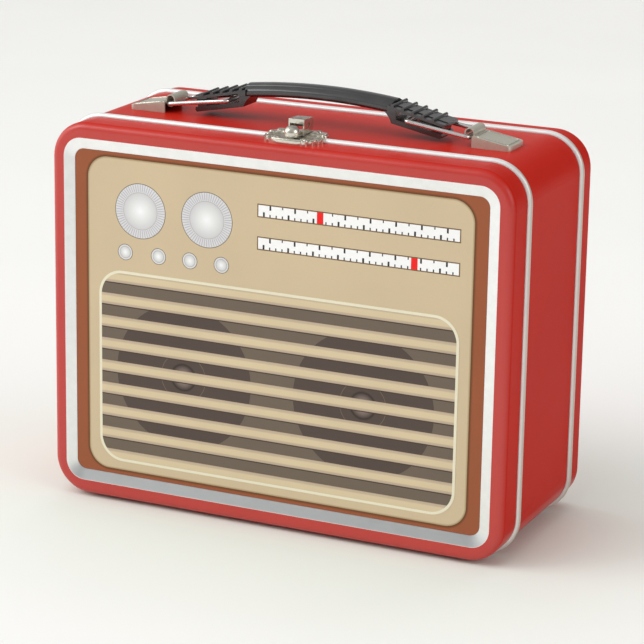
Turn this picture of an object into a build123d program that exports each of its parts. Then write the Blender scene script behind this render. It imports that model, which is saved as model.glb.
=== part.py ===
from build123d import *
import math
import os

# Hinged tin lunch box: a rounded-rectangle case that opens at the front, a printed front panel
# in a bright frame, rolled bright rims, an ornate top latch and a lifting plastic handle.
# +X right, +Y back, +Z up; the origin is under the middle of the case, where the rims stand.

os.makedirs("parts", exist_ok=True)

# ---- case ----
case_width = 212.0
case_height = 166.5
front_y = -46.25
back_y = 46.25
corner_radius = 16.0
sheet = 0.6
fold_radius = 3.0
rim_radius = 1.5
rim_bore_radius = 1.0
rim_front_y = -29.65
rim_back_y = 31.65
rim_grip = 0.65
seam_gap = 0.3
lid_plug_inset = 2.0
lid_plug_depth = 8.0
seam_inset = 1.52
seam_depth = 6.0

# ---- front panel ----
frame_width = 200.0
frame_height = 153.6
frame_radius = 8.5
frame_border = 4.75
frame_inner_radius = 4.5
recess_depth = 1.8
print_thickness = 0.4
frame_lip = 0.45
panel_gap = 0.1
back_recess_inset = 9.0
back_recess_depth = 0.8

# ---- lid hinges ----
hinge_x = 55.0
hinge_length = 24.0
lid_knuckle = 8.0
knuckle_gap = 0.2
knuckle_radius = 1.45
hinge_pin_radius = 0.6
hinge_running = 0.05
leaf_depth = 8.5
leaf_start = 1.65
hinge_notch = 0.3
rivet_shank_radius = 1.2
rivet_head_radius = 2.0
rivet_head_height = 0.45
hinge_rivet_pitch = 14.0

# ---- handle set: brackets, bails, grip ----
carry_x = 1.0
carry_y = -2.0
pivot_reach = 69.7
pivot_height = 4.0
wire_radius = 0.95
bail_width = 15.8
bail_corner = 1.6
bail_angle = 8.2
bail_length = 28.5
curl_bore_radius = 1.75
curl_wall = 0.5
curl_rise = 0.8
curl_length = 12.4
curl_play = 0.05
cap_inner = 71.5
cap_outer = 88.5
cap_width = 16.6
cap_inner_height = 4.8
cap_outer_height = 1.9
cap_sheet = 0.7
tab_x = 79.5
tab_length = 4.0
tab_foot = 3.0
tab_play = 0.15

grip_half_width = 6.7
grip_dome = 3.1
groove_y = 3.6
groove_floor = 2.0
groove_half = 0.3
groove_outer_height = 2.2
groove_inner_height = 2.5
flank_y = 5.1
flank_height = 1.5
grip_ledge = 0.7
grip_ledge_height = 0.45
grip_side = 1.1
grip_under = 2.4
grip_under_inset = 1.4
grip_under_round = 1.5
grip_arc_radius = 276.0
grip_crease_height = 14.6
grip_end = 34.0
jaw_start = 33.0
jaw_solid_end = 36.5
jaw_end = 59.0
jaw_slope = 0.22
plate_top = 13.7
plate_rear_drop = 1.5
band_half_width = 3.4
band_rise = 0.35
plate_thickness = 1.2
plate_half_width = 7.5
lip_top = 8.2
lip_slope = 0.19
lip_thickness = 2.2
lip_end = 57.5
lip_half_width = 6.4
web_start = 52.5
web_half_width = 5.6
haunch_x = 26.5
rib_first = 35.3
rib_pitch = 4.6
rib_count = 5
rib_width = 1.4
rib_height = 1.3
rib_half_width = 7.6

# ---- latch ----
latch_x = 2.5
plate_center_y = -31.0
plate_half_x = 13.4
plate_half_y = 11.3
plate_corner = 8.5
plate_lip_half = 7.0
lobe_radius = 1.7
lobe_count = 24
base_height = 1.95
keeper_height = 1.5
plate_split = 0.15
hasp_half_width = 3.6
hasp_sheet = 0.6
hasp_front_y = -31.0
hasp_back_y = -22.0
hasp_bottom = 2.2
hasp_top = 8.6
hasp_top_drop = 0.4
hasp_brow = 1.8
hasp_sill = 1.3
hasp_heel = 2.4
pin_y = -26.4
pin_height = 5.6
pin_radius = 0.8
pin_running = 0.05
pin_recess = 0.2
ear_outer = 2.75
ear_thickness = 0.6
ear_half_length = 1.6
slot_play = 0.2
slot_rim_play = 0.3
slot_back_play = 0.4
nose_radius = 3.3
nose_y = -35.0
nose_height = 4.3
nose_round = 2.7
nose_hollow = 2.5
catch_half_width = 1.2
catch_thickness = 0.8
catch_height = 2.1
catch_offset = 0.6
plate_rivet_x = 9.8
base_rivet_y = -25.0
keeper_rivet_y = -35.6
plate_rivet_radius = 1.0
plate_rivet_head = 1.7
plate_rivet_dome = 0.5

# ---- derived ----
case_bottom = rim_radius
case_mid = case_bottom + case_height / 2
case_top = case_bottom + case_height
lid_edge_y = rim_front_y - rim_radius - seam_gap
band_front_y = rim_front_y + rim_grip
band_back_y = rim_back_y - rim_radius - seam_gap
pan_edge_y = rim_back_y + rim_grip
recess_floor_y = front_y + recess_depth
print_width = frame_width - 2 * frame_border - 2 * panel_gap
print_height = frame_height - 2 * frame_border - 2 * panel_gap
pivot_z = case_top + pivot_height
curl_low_z = pivot_z + curl_bore_radius - wire_radius - curl_play
hinge_rivet_reach = leaf_start + leaf_depth * 0.55
clear = 40.0
hasp_pin_z = case_top + pin_height


def outline_plane(y, z=case_mid):
    """Sketch plane facing the front, with its origin on the case's middle line."""
    return Plane(origin=(0, y, z), x_dir=(1, 0, 0), z_dir=(0, -1, 0))


def wall(inset, thickness, y_front, y_back, mode=Mode.ADD):
    """A strip of sheet that follows the case outline."""
    inner = inset + thickness
    with BuildSketch(outline_plane(y_back)) as strip:
        RectangleRounded(case_width - 2 * inset, case_height - 2 * inset, corner_radius - inset)
        RectangleRounded(
            case_width - 2 * inner, case_height - 2 * inner, corner_radius - inner, mode=Mode.SUBTRACT
        )
    extrude(strip.sketch, amount=y_back - y_front, mode=mode)


def block(x_range, y_range, z_range, mode=Mode.ADD):
    """A rectangular block between two corners."""
    (x0, x1), (y0, y1), (z0, z1) = x_range, y_range, z_range
    with Locations(((x0 + x1) / 2, (y0 + y1) / 2, (z0 + z1) / 2)):
        Box(x1 - x0, y1 - y0, z1 - z0, mode=mode)


def upright(x, y, z, radius, height, mode=Mode.ADD):
    """A vertical cylinder standing on z."""
    with Locations((x, y, z + height / 2)):
        Cylinder(radius, height, mode=mode)


def along_x(x0, x1, y, z, radius, mode=Mode.ADD):
    """A cylinder that runs along X."""
    with BuildSketch(Plane(origin=(x0, y, z), x_dir=(0, 1, 0), z_dir=(1, 0, 0))) as disc:
        Circle(radius)
    extrude(disc.sketch, amount=x1 - x0, mode=mode)


# ---- body band: the case's middle strip, stepped in at the back seam ----
with BuildPart() as body_band:
    wall(0, sheet, band_front_y, band_back_y)
    wall(0, seam_inset + sheet, band_back_y - sheet, band_back_y)
    wall(seam_inset, sheet, band_back_y - sheet, band_back_y + seam_depth)
    for side in (-1, 1):
        # room for the hinge barrels
        middle = side * hinge_x
        half = hinge_length / 2 + hinge_notch
        block(
            (middle - half, middle + half),
            (band_front_y - 1, rim_front_y + leaf_start),
            (case_bottom - 1, case_bottom + sheet + 1),
            mode=Mode.SUBTRACT,
        )
        # holes for the hinge rivets
        for step in (-1, 1):
            rivet_x = middle + step * hinge_rivet_pitch / 2
            rivet_y = rim_front_y + hinge_rivet_reach
            upright(rivet_x, rivet_y, case_bottom - 1, rivet_shank_radius, sheet + 2, Mode.SUBTRACT)
        # slots for the handle brackets' tabs
        for edge in (-1, 1):
            slot_x = carry_x + side * tab_x
            slot_y = carry_y + edge * (cap_width - cap_sheet) / 2
            block(
                (slot_x - tab_length / 2 - tab_play, slot_x + tab_length / 2 + tab_play),
                (slot_y - cap_sheet / 2 - tab_play, slot_y + cap_sheet / 2 + tab_play),
                (case_top - sheet - 1, case_top + 1),
                mode=Mode.SUBTRACT,
            )
        # holes for the latch rivets
        rivet_x = latch_x + side * plate_rivet_x
        upright(rivet_x, base_rivet_y, case_top - sheet - 1, plate_rivet_radius, sheet + 2, Mode.SUBTRACT)
body_band.part.label = "body_band"
export_step(body_band.part, "parts/body_band.step")


# ---- back pan: drawn sheet with a rounded fold and a shallow pressed field ----
with BuildPart() as back_pan:
    with BuildSketch(outline_plane(back_y)):
        RectangleRounded(case_width, case_height, corner_radius)
    extrude(amount=back_y - pan_edge_y)
    fillet(back_pan.faces().sort_by(Axis.Y)[-1].edges(), fold_radius)
    offset(amount=-sheet, openings=back_pan.faces().sort_by(Axis.Y)[0])
    field = back_recess_inset
    with BuildSketch(outline_plane(back_y)):
        RectangleRounded(
            case_width - 2 * field + 2 * sheet, case_height - 2 * field + 2 * sheet, corner_radius - 4
        )
    extrude(amount=back_recess_depth + sheet)
    with BuildSketch(outline_plane(back_y)):
        RectangleRounded(case_width - 2 * field, case_height - 2 * field, corner_radius - 4 - sheet)
    extrude(amount=back_recess_depth, mode=Mode.SUBTRACT)
back_pan.part.label = "back_pan"
export_step(back_pan.part, "parts/back_pan.step")


# ---- lid pan: rounded fold, seat for the frame, joggle and plug flange at the rear ----
with BuildPart() as lid_pan:
    with BuildSketch(outline_plane(lid_edge_y)):
        RectangleRounded(case_width, case_height, corner_radius)
    extrude(amount=lid_edge_y - front_y)
    fillet(lid_pan.faces().sort_by(Axis.Y)[0].edges(), fold_radius)
    offset(amount=-sheet, openings=lid_pan.faces().sort_by(Axis.Y)[-1])
    with BuildSketch(outline_plane(recess_floor_y + sheet)):
        RectangleRounded(frame_width + 2 * sheet, frame_height + 2 * sheet, frame_radius + sheet)
    extrude(amount=recess_depth)
    with BuildSketch(outline_plane(recess_floor_y)):
        RectangleRounded(frame_width, frame_height, frame_radius)
    extrude(amount=recess_depth + 1, mode=Mode.SUBTRACT)
    wall(0, lid_plug_inset + sheet, lid_edge_y - sheet, lid_edge_y)
    wall(lid_plug_inset, sheet, lid_edge_y - sheet, rim_front_y + lid_plug_depth)
    for side in (-1, 1):
        # holes for the hinge rivets
        for step in (-1, 1):
            rivet_x = side * hinge_x + step * hinge_rivet_pitch / 2
            rivet_y = rim_front_y - hinge_rivet_reach
            upright(rivet_x, rivet_y, case_bottom - 1, rivet_shank_radius, sheet + 2, Mode.SUBTRACT)
        # holes for the keeper rivets
        rivet_x = latch_x + side * plate_rivet_x
        upright(rivet_x, keeper_rivet_y, case_top - sheet - 1, plate_rivet_radius, sheet + 2, Mode.SUBTRACT)
lid_pan.part.label = "lid_pan"
export_step(lid_pan.part, "parts/lid_pan.step")


# ---- front frame: bright border that slopes in to the printed panel ----
with BuildPart() as front_frame:
    with BuildSketch(outline_plane(recess_floor_y)):
        RectangleRounded(frame_width, frame_height, frame_radius)
        RectangleRounded(
            frame_width - 2 * frame_border,
            frame_height - 2 * frame_border,
            frame_inner_radius,
            mode=Mode.SUBTRACT,
        )
    extrude(amount=recess_depth)
    with BuildSketch(outline_plane(recess_floor_y - frame_lip)):
        RectangleRounded(
            frame_width - 2 * frame_border, frame_height - 2 * frame_border, frame_inner_radius
        )
    with BuildSketch(outline_plane(front_y)):
        RectangleRounded(frame_width - 0.4, frame_height - 0.4, frame_radius - 0.2)
    loft(mode=Mode.SUBTRACT)
front_frame.part.label = "front_frame"
export_step(front_frame.part, "parts/front_frame.step")


# ---- print panel: flat printed sheet inside the frame ----
with BuildPart() as print_panel:
    with BuildSketch(outline_plane(recess_floor_y)):
        RectangleRounded(print_width, print_height, frame_inner_radius - panel_gap)
    extrude(amount=print_thickness)
print_panel.part.label = "print_panel"
export_step(print_panel.part, "parts/print_panel.step")


def rim(y):
    """A hollow rolled rim round the case, slit at the back to grip an edge of sheet."""
    with BuildSketch(outline_plane(y)) as path:
        RectangleRounded(case_width, case_height, corner_radius)
    route = path.sketch.faces()[0].outer_wire()
    with BuildSketch(Plane(origin=(0, y, case_bottom), x_dir=(0, 1, 0), z_dir=(1, 0, 0))) as tube:
        Circle(rim_radius)
        Circle(rim_bore_radius, mode=Mode.SUBTRACT)
    sweep(sections=tube.sketch, path=route)
    wall(0, sheet, y, y + rim_radius + 1, Mode.SUBTRACT)


# ---- rims ----
with BuildPart() as rim_front:
    rim(rim_front_y)
    for side in (-1, 1):
        # the hinge barrels take the rim's place
        middle = side * hinge_x
        half = hinge_length / 2 + hinge_notch
        block(
            (middle - half, middle + half),
            (rim_front_y - 3, rim_front_y + 3),
            (-1, case_bottom + 3),
            mode=Mode.SUBTRACT,
        )
rim_front.part.label = "rim_front"
export_step(rim_front.part, "parts/rim_front.step")

with BuildPart() as rim_back:
    rim(rim_back_y)
rim_back.part.label = "rim_back"
export_step(rim_back.part, "parts/rim_back.step")


# ---- lid hinges ----
body_knuckle = (hinge_length - lid_knuckle) / 2 - knuckle_gap


def leaf(middle, direction):
    """A flat hinge leaf under the case with two rivet holes; direction is +1 back, -1 front."""
    near = rim_front_y + direction * leaf_start
    far = near + direction * leaf_depth
    with BuildSketch(Plane(origin=(middle, (near + far) / 2, case_bottom - sheet))) as plate:
        Rectangle(hinge_length, leaf_depth)
        fillet(plate.vertices().group_by(Axis.Y)[-1 if direction > 0 else 0], 2.0)
    extrude(plate.sketch, amount=sheet)
    for step in (-1, 1):
        rivet_x = middle + step * hinge_rivet_pitch / 2
        rivet_y = rim_front_y + direction * hinge_rivet_reach
        upright(rivet_x, rivet_y, case_bottom - 2, rivet_shank_radius, 4, Mode.SUBTRACT)


def knuckle(x0, x1, direction, bore):
    """A hinge knuckle round the pin, with the strip that joins it to its leaf."""
    along_x(x0, x1, rim_front_y, case_bottom, knuckle_radius)
    near = rim_front_y + direction * leaf_start
    block(
        (x0, x1),
        (min(near, rim_front_y), max(near, rim_front_y)),
        (case_bottom - sheet, case_bottom),
    )
    along_x(x0, x1, rim_front_y, case_bottom, bore, Mode.SUBTRACT)


for name, side in (("left", -1), ("right", 1)):
    middle = side * hinge_x
    low = middle - hinge_length / 2
    high = middle + hinge_length / 2
    with BuildPart() as body_leaf:
        leaf(middle, 1)
        knuckle(low, low + body_knuckle, 1, hinge_pin_radius)
        knuckle(high - body_knuckle, high, 1, hinge_pin_radius)
    body_leaf.part.label = "hinge_body_leaf_" + name
    export_step(body_leaf.part, "parts/hinge_body_leaf_" + name + ".step")

    with BuildPart() as lid_leaf:
        leaf(middle, -1)
        bore = hinge_pin_radius + hinge_running
        knuckle(middle - lid_knuckle / 2, middle + lid_knuckle / 2, -1, bore)
    lid_leaf.part.label = "hinge_lid_leaf_" + name
    export_step(lid_leaf.part, "parts/hinge_lid_leaf_" + name + ".step")

    with BuildPart() as hinge_pin:
        along_x(low, high, rim_front_y, case_bottom, hinge_pin_radius)
        chamfer(hinge_pin.edges(), 0.15)
    hinge_pin.part.label = "hinge_pin_" + name
    export_step(hinge_pin.part, "parts/hinge_pin_" + name + ".step")


def hinge_rivet(x, y):
    """A flush rivet through leaf and sheet, with a flat head on both sides."""
    under = case_bottom - sheet - rivet_head_height
    upright(x, y, under, rivet_head_radius, rivet_head_height)
    upright(x, y, under, rivet_shank_radius, 2 * rivet_head_height + 2 * sheet)
    upright(x, y, case_bottom + sheet, rivet_head_radius, rivet_head_height)


for name, direction in (("body", 1), ("lid", -1)):
    with BuildPart() as hinge_rivets:
        for side in (-1, 1):
            for step in (-1, 1):
                hinge_rivet(
                    side * hinge_x + step * hinge_rivet_pitch / 2,
                    rim_front_y + direction * hinge_rivet_reach,
                )
    hinge_rivets.part.label = "hinge_rivets_" + name
    export_step(hinge_rivets.part, "parts/hinge_rivets_" + name + ".step")


def side_plane(y, side):
    """Sketch plane across the case at depth y, with x counted outward from the handle's middle."""
    return Plane(origin=(carry_x, y, case_top), x_dir=(side, 0, 0), z_dir=(0, -side, 0))


def across(side, half_width):
    """The plane to extrude from so that the part runs over carry_y - half_width to + half_width."""
    return side_plane(carry_y + side * half_width, side)


# ---- handle brackets: pressed wedge cap, curled eye for the bail, two clinched tabs ----
for name, side in (("left", -1), ("right", 1)):
    with BuildPart() as bracket:
        with BuildSketch(across(side, cap_width / 2)):
            with BuildLine():
                Polyline(
                    (cap_inner, 0),
                    (cap_outer, 0),
                    (cap_outer, cap_outer_height),
                    (cap_inner, cap_inner_height),
                    close=True,
                )
            make_face()
        extrude(amount=cap_width)
        outer_edges = bracket.edges().filter_by(Axis.Z)
        fillet([e for e in outer_edges if abs(e.center().X - carry_x) > cap_outer - 1], 2.0)
        with BuildSketch(across(side, cap_width / 2 - cap_sheet)):
            with BuildLine():
                Polyline(
                    (cap_inner - 1, -1),
                    (cap_outer - cap_sheet, -1),
                    (cap_outer - cap_sheet, cap_outer_height - cap_sheet),
                    (cap_inner - 1, cap_inner_height - cap_sheet + 0.15),
                    close=True,
                )
            make_face()
        extrude(amount=cap_width - 2 * cap_sheet, mode=Mode.SUBTRACT)

        # the eye: a strip curled into a tall loop
        low = curl_low_z - case_top
        with BuildSketch(across(side, curl_length / 2)):
            with Locations((pivot_reach, low + curl_rise / 2)):
                SlotCenterToCenter(curl_rise, 2 * (curl_bore_radius + curl_wall), rotation=90)
                SlotCenterToCenter(curl_rise, 2 * curl_bore_radius, rotation=90, mode=Mode.SUBTRACT)
            with Locations((pivot_reach - curl_bore_radius - curl_wall / 2, low)):
                Rectangle(1.2, 0.5, rotation=12, mode=Mode.SUBTRACT)
        extrude(amount=curl_length)

        # tabs through the band, bent under it
        for edge in (-1, 1):
            tab_y = carry_y + edge * (cap_width - cap_sheet) / 2
            x0 = carry_x + side * tab_x - tab_length / 2
            x1 = x0 + tab_length
            block((x0, x1), (tab_y - cap_sheet / 2, tab_y + cap_sheet / 2), (case_top - 1.3, case_top + 1))
            foot_y = tab_y - edge * (cap_sheet / 2 + tab_foot / 2)
            block(
                (x0, x1),
                (foot_y - tab_foot / 2 - 0.4, foot_y + tab_foot / 2 + 0.4),
                (case_top - sheet - cap_sheet, case_top - sheet),
            )
    bracket.part.label = "bracket_" + name
    export_step(bracket.part, "parts/bracket_" + name + ".step")


# ---- bails: closed wire loops, hinged in the brackets' eyes ----
for name, side in (("left", -1), ("right", 1)):
    rise = math.radians(bail_angle)
    with BuildPart() as bail:
        loop_plane = Plane(
            origin=(carry_x + side * pivot_reach, carry_y, pivot_z),
            x_dir=(-side * math.cos(rise), 0, math.sin(rise)),
            z_dir=(side * math.sin(rise), 0, math.cos(rise)),
        )
        with BuildSketch(loop_plane) as loop:
            with Locations((bail_length / 2, 0)):
                RectangleRounded(bail_length, bail_width, bail_corner)
        route = loop.sketch.faces()[0].outer_wire()
        start = loop_plane.from_local_coords(Vector(bail_length / 2, bail_width / 2, 0))
        with BuildSketch(Plane(origin=start, x_dir=(0, 1, 0), z_dir=loop_plane.x_dir)) as wire:
            Circle(wire_radius)
        sweep(sections=wire.sketch, path=route)
    bail.part.label = "bail_" + name
    export_step(bail.part, "parts/bail_" + name + ".step")


# ---- handle: arched grip with a domed top, slotted jaws with ribbed plates ----
grip_center_z = case_top + grip_crease_height - grip_arc_radius
grip_angle = math.degrees(math.asin(grip_end / grip_arc_radius))


with BuildPart() as handle:
    for side in (-1, 1):
        with BuildSketch(
            Plane(
                origin=(carry_x, carry_y, case_top + grip_crease_height), x_dir=(0, 1, 0), z_dir=(1, 0, 0)
            )
        ):
            # flat underside, upright sides, a small ledge, and a crown between two grooves
            half = grip_half_width
            shoulder = half - grip_ledge
            under = half - grip_under_inset
            crown = (groove_y - groove_half, groove_inner_height)
            flank = (groove_y + groove_half, groove_outer_height)
            with BuildLine():
                Polyline((0, -grip_under), (under, -grip_under))
                RadiusArc((under, -grip_under), (half, -grip_side), -grip_under_round)
                Polyline((half, -grip_side), (half, 0), (shoulder, grip_ledge_height))
                ThreePointArc((shoulder, grip_ledge_height), (flank_y, flank_height), flank)
                Polyline(flank, (groove_y, groove_floor), crown)
                ThreePointArc(crown, (0, grip_dome), (-crown[0], crown[1]))
                Polyline((-crown[0], crown[1]), (-groove_y, groove_floor), (-flank[0], flank[1]))
                ThreePointArc((-flank[0], flank[1]), (-flank_y, flank_height), (-shoulder, grip_ledge_height))
                Polyline((-shoulder, grip_ledge_height), (-half, 0), (-half, -grip_side))
                RadiusArc((-half, -grip_side), (-under, -grip_under), -grip_under_round)
                Line((-under, -grip_under), (0, -grip_under))
            make_face()
        axis = Axis((carry_x, carry_y, grip_center_z), (0, side, 0))
        revolve(axis=axis, revolution_arc=grip_angle)

        # haunch and lower lip
        with BuildSketch(across(side, lip_half_width)):
            with BuildLine():
                lip_bottom = lip_top - lip_thickness
                foot = (jaw_start + 1.5, lip_bottom)
                Line((jaw_solid_end, plate_top - 1.0), (haunch_x, plate_top - 1.0))
                Spline(
                    (haunch_x, plate_top - 1.0),
                    foot,
                    tangents=((1, -0.15), (0.35, -1)),
                )
                tip_drop = lip_slope * (lip_end - jaw_start - 1.5)
                Polyline(
                    foot,
                    (lip_end - 0.8, lip_bottom - tip_drop),
                    (lip_end, lip_bottom - tip_drop + 0.9),
                    (lip_end - 0.2, lip_top - lip_slope * (lip_end - grip_end)),
                    (jaw_solid_end, lip_top - lip_slope * (jaw_solid_end - grip_end)),
                    (jaw_solid_end, plate_top - 1.0),
                )
            make_face()
        extrude(amount=2 * lip_half_width)

        # upper plate, with a raised band down its middle
        drop = jaw_slope * (jaw_end - jaw_start)
        for half, lift in ((plate_half_width, 0), (band_half_width, band_rise)):
            low = plate_top - plate_thickness
            with BuildSketch(across(side, half)):
                with BuildLine():
                    Polyline(
                        (jaw_start, low - plate_rear_drop),
                        (jaw_solid_end, low - plate_rear_drop),
                        (jaw_solid_end, low - jaw_slope * (jaw_solid_end - jaw_start)),
                        (jaw_end, low - drop),
                        (jaw_end, low - drop + plate_thickness + lift),
                        (jaw_start, plate_top + lift),
                        close=True,
                    )
                make_face()
            extrude(amount=2 * half)

        # web that closes the slot at its outer end
        with BuildSketch(across(side, web_half_width)):
            with BuildLine():
                Polyline(
                    (web_start, lip_top - lip_slope * (web_start - grip_end) - 0.5),
                    (lip_end - 1, lip_top - lip_slope * (lip_end - 1 - grip_end) - 0.5),
                    (lip_end, plate_top - jaw_slope * (lip_end - jaw_start) - 0.5),
                    (web_start, plate_top - jaw_slope * (web_start - jaw_start) - 0.5),
                    close=True,
                )
            make_face()
        extrude(amount=2 * web_half_width)

        # cross ribs
        for index in range(rib_count):
            rib_x = rib_first + index * rib_pitch
            base = plate_top - jaw_slope * (rib_x - jaw_start)
            with BuildSketch(across(side, rib_half_width)):
                with BuildLine():
                    Polyline(
                        (rib_x - rib_width / 2, base - 0.4),
                        (rib_x + rib_width / 2, base - 0.6),
                        (rib_x + rib_width / 2, base + rib_height * 0.45),
                    )
                    RadiusArc(
                        (rib_x + rib_width / 2, base + rib_height * 0.45),
                        (rib_x - rib_width / 2, base + rib_height * 0.6),
                        -rib_width * 0.55,
                    )
                    Line(
                        (rib_x - rib_width / 2, base + rib_height * 0.6), (rib_x - rib_width / 2, base - 0.4)
                    )
                make_face()
            extrude(amount=2 * rib_half_width)
handle.part.label = "handle"
export_step(handle.part, "parts/handle.step")


# ---- latch plates: one scalloped plate, split along the seam ----
def ornate_plate(height):
    """A rounded plate with a scalloped rim and a smooth front lip, standing on the case's top."""
    level = Plane(origin=(latch_x, plate_center_y, case_top))
    size = (2 * (plate_half_x - lobe_radius), 2 * (plate_half_y - lobe_radius))
    with BuildSketch() as rim_line:
        RectangleRounded(*size, plate_corner)
    route = rim_line.sketch.faces()[0].outer_wire()
    with BuildSketch(level) as plate:
        RectangleRounded(size[0] + lobe_radius, size[1] + lobe_radius, plate_corner + lobe_radius / 2)
        for index in range(lobe_count):
            spot = route @ (index / lobe_count)
            if spot.Y > 0 or abs(spot.X) > plate_lip_half:
                with Locations((spot.X, spot.Y)):
                    Circle(lobe_radius)
    extrude(plate.sketch, amount=height)


with BuildPart() as latch_base:
    ornate_plate(base_height)
    # keep the part behind the seam
    split_y = rim_front_y - rim_radius - plate_split
    block((-clear, clear), (-60, split_y), (case_top - 1, case_top + 9), Mode.SUBTRACT)
    # clear the rim
    along_x(-clear, clear, rim_front_y, case_top, rim_radius + 0.02, Mode.SUBTRACT)
    # slots that the hasp's sides swing down into
    for side in (-1, 1):
        wall_mid = latch_x + side * (hasp_half_width - hasp_sheet / 2)
        half = hasp_sheet / 2 + slot_play
        block(
            (wall_mid - half, wall_mid + half),
            (rim_front_y + rim_radius + slot_rim_play, hasp_back_y + slot_back_play),
            (case_top - 1, case_top + 9),
            Mode.SUBTRACT,
        )
        # ears for the pin
        ear_mid = latch_x + side * (ear_outer - ear_thickness / 2)
        block(
            (ear_mid - ear_thickness / 2, ear_mid + ear_thickness / 2),
            (pin_y - ear_half_length, pin_y + ear_half_length),
            (case_top + base_height - 0.5, hasp_pin_z),
        )
        along_x(
            ear_mid - ear_thickness / 2, ear_mid + ear_thickness / 2, pin_y, hasp_pin_z, ear_half_length
        )
        # rivet holes
        rivet_x = latch_x + side * plate_rivet_x
        upright(rivet_x, base_rivet_y, case_top - 1, plate_rivet_radius, 9, Mode.SUBTRACT)
    along_x(-clear, clear, pin_y, hasp_pin_z, pin_radius, Mode.SUBTRACT)
latch_base.part.label = "latch_base"
export_step(latch_base.part, "parts/latch_base.step")

with BuildPart() as latch_keeper:
    ornate_plate(keeper_height)
    front_split = lid_edge_y
    block((-clear, clear), (front_split, 0), (case_top - 1, case_top + 9), Mode.SUBTRACT)
    # catch that the hasp's nose drops over
    block(
        (latch_x - catch_half_width, latch_x + catch_half_width),
        (nose_y - catch_offset - catch_thickness, nose_y - catch_offset),
        (case_top + keeper_height - 0.5, case_top + keeper_height + catch_height),
    )
    for side in (-1, 1):
        upright(
            latch_x + side * plate_rivet_x, keeper_rivet_y, case_top - 1, plate_rivet_radius, 9, Mode.SUBTRACT
        )
latch_keeper.part.label = "latch_keeper"
export_step(latch_keeper.part, "parts/latch_keeper.step")


def plate_rivet(x, y, height):
    """A rivet through a latch plate and the sheet under it."""
    foot = case_top - sheet - plate_rivet_dome
    upright(x, y, foot, plate_rivet_radius, height + sheet + 2 * plate_rivet_dome)
    upright(x, y, foot, plate_rivet_head, plate_rivet_dome)
    upright(x, y, case_top + height, plate_rivet_head, plate_rivet_dome)


for name, y, height in (("base", base_rivet_y, base_height), ("keeper", keeper_rivet_y, keeper_height)):
    with BuildPart() as plate_rivets:
        for side in (-1, 1):
            plate_rivet(latch_x + side * plate_rivet_x, y, height)
    plate_rivets.part.label = "latch_rivets_" + name
    export_step(plate_rivets.part, "parts/latch_rivets_" + name + ".step")

with BuildPart() as latch_pin:
    reach = hasp_half_width - pin_recess
    along_x(latch_x - reach, latch_x + reach, pin_y, hasp_pin_z, pin_radius)
    chamfer(latch_pin.edges(), 0.2)
latch_pin.part.label = "latch_pin"
export_step(latch_pin.part, "parts/latch_pin.step")


# ---- hasp: folded sheet box that swings on the pin, with a hollow domed nose ----
with BuildPart() as latch_hasp:
    upright(latch_x, nose_y, case_top + hasp_bottom, nose_radius, nose_height)
    fillet(latch_hasp.edges().sort_by(Axis.Z)[-1], nose_round)
    # tongue from the nose back to the box
    block(
        (latch_x - nose_radius, latch_x + nose_radius),
        (nose_y, hasp_front_y + hasp_sheet),
        (case_top + hasp_bottom, case_top + hasp_bottom + hasp_sheet),
    )

    side_view = Plane(origin=(latch_x - hasp_half_width, 0, case_top), x_dir=(0, 1, 0), z_dir=(1, 0, 0))
    with BuildSketch(side_view):
        with BuildLine():
            Polyline(
                (hasp_front_y, hasp_bottom),
                (hasp_back_y - hasp_heel, hasp_bottom),
                (hasp_back_y - hasp_heel / 3, hasp_bottom + hasp_heel / 3),
                (hasp_back_y, hasp_bottom + hasp_heel),
                (hasp_back_y, hasp_top - hasp_top_drop),
                (hasp_front_y, hasp_top),
                close=True,
            )
        make_face()
    extrude(amount=2 * hasp_half_width)

    # hollow it from below and behind
    with BuildSketch(side_view.offset(hasp_sheet)):
        with BuildLine():
            Polyline(
                (hasp_front_y + hasp_sheet, hasp_bottom - 1),
                (hasp_back_y + 1, hasp_bottom - 1),
                (hasp_back_y + 1, hasp_top - hasp_top_drop - hasp_sheet - 0.1),
                (hasp_front_y + hasp_sheet, hasp_top - hasp_sheet - 0.05),
                close=True,
            )
        make_face()
    extrude(amount=2 * (hasp_half_width - hasp_sheet), mode=Mode.SUBTRACT)

    # window in the front, between brow and sill
    block(
        (latch_x - hasp_half_width + hasp_sheet, latch_x + hasp_half_width - hasp_sheet),
        (hasp_front_y, hasp_front_y + hasp_sheet + 1),
        (case_top + hasp_bottom + hasp_sill, case_top + hasp_top - hasp_brow),
        Mode.SUBTRACT,
    )

    # the nose's hollow, and the pin's bore
    upright(latch_x, nose_y, case_top, nose_radius - hasp_sheet, hasp_bottom + nose_hollow, Mode.SUBTRACT)
    along_x(-clear, clear, pin_y, hasp_pin_z, pin_radius + pin_running, Mode.SUBTRACT)
latch_hasp.part.label = "latch_hasp"
export_step(latch_hasp.part, "parts/latch_hasp.step")
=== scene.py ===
import math

import bmesh
import bpy
from mathutils import Matrix, Vector


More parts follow.
